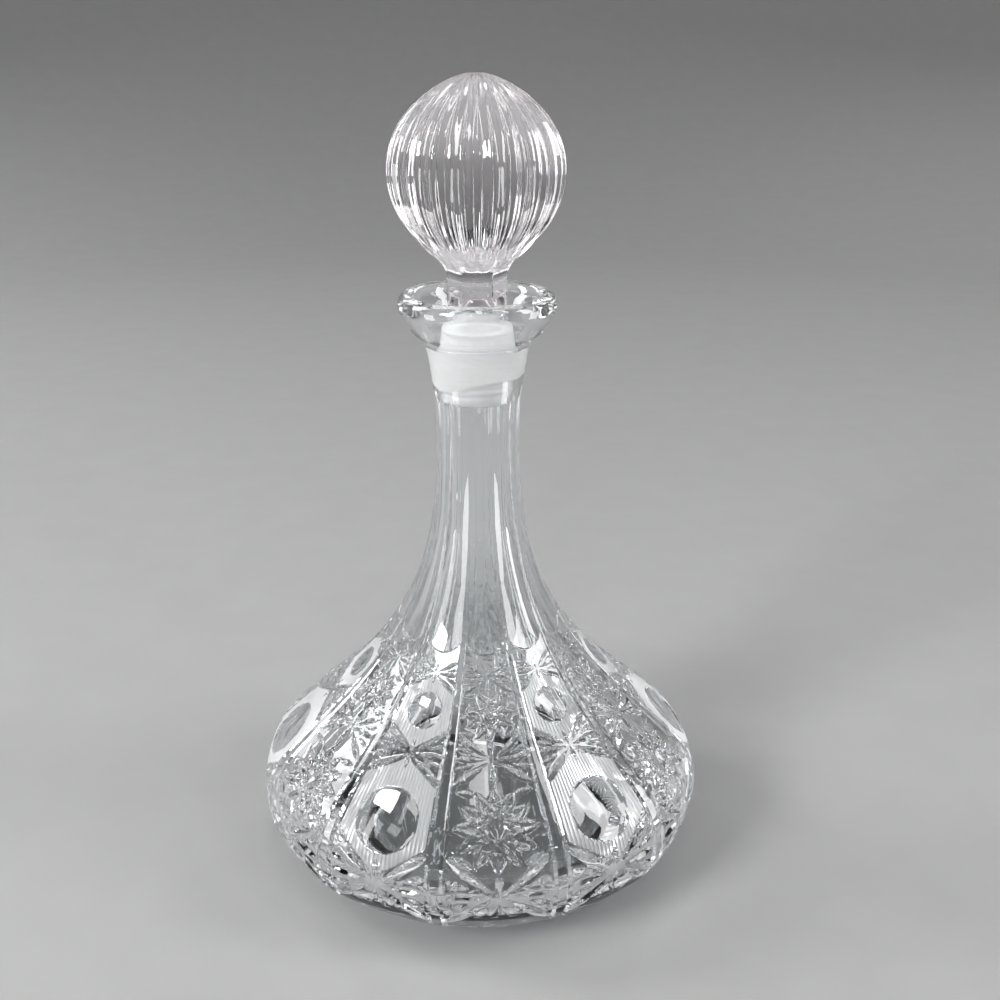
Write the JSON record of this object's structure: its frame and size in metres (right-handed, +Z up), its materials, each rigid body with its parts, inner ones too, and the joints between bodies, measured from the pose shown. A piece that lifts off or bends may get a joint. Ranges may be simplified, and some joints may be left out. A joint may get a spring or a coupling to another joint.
{
  "type": "cut crystal decanter",
  "caption": "Wide-bellied cut crystal decanter with a fluted neck, a fluted ball stopper that lifts off, and a plastic sleeve sealing its peg.",
  "frame": {"origin": "centre of the flat foot, on the surface the decanter stands on", "axes": "+Z up along the decanter's axis of revolution, through the neck and the stopper; -Y through the middle of one hobstar column of the belly"},
  "size_m": [0.1554, 0.1554, 0.2696],
  "materials": {
    "vessel_crystal": "polished clear lead crystal with cut and fine-ribbed decoration",
    "stopper_crystal": "polished clear lead crystal",
    "sleeve_plastic": "soft milky white, slightly wrinkled"
  },
  "bodies": {
    "vessel": {"decanter_body": "vessel_crystal"},
    "seal": {"stopper_sleeve": "sleeve_plastic"},
    "stopper": {"stopper": "stopper_crystal"}
  },
  "joints": [
    {"name": "stopper_lift", "type": "slide", "parent": "vessel", "child": "seal", "axis": [0, 0, 1], "range_m": [0, 0.1]},
    {"name": "stopper_turn", "type": "hinge", "parent": "seal", "child": "stopper", "pos_m": [0, 0, 0.2406], "axis": [0, 0, 1], "continuous": true}
  ]
}
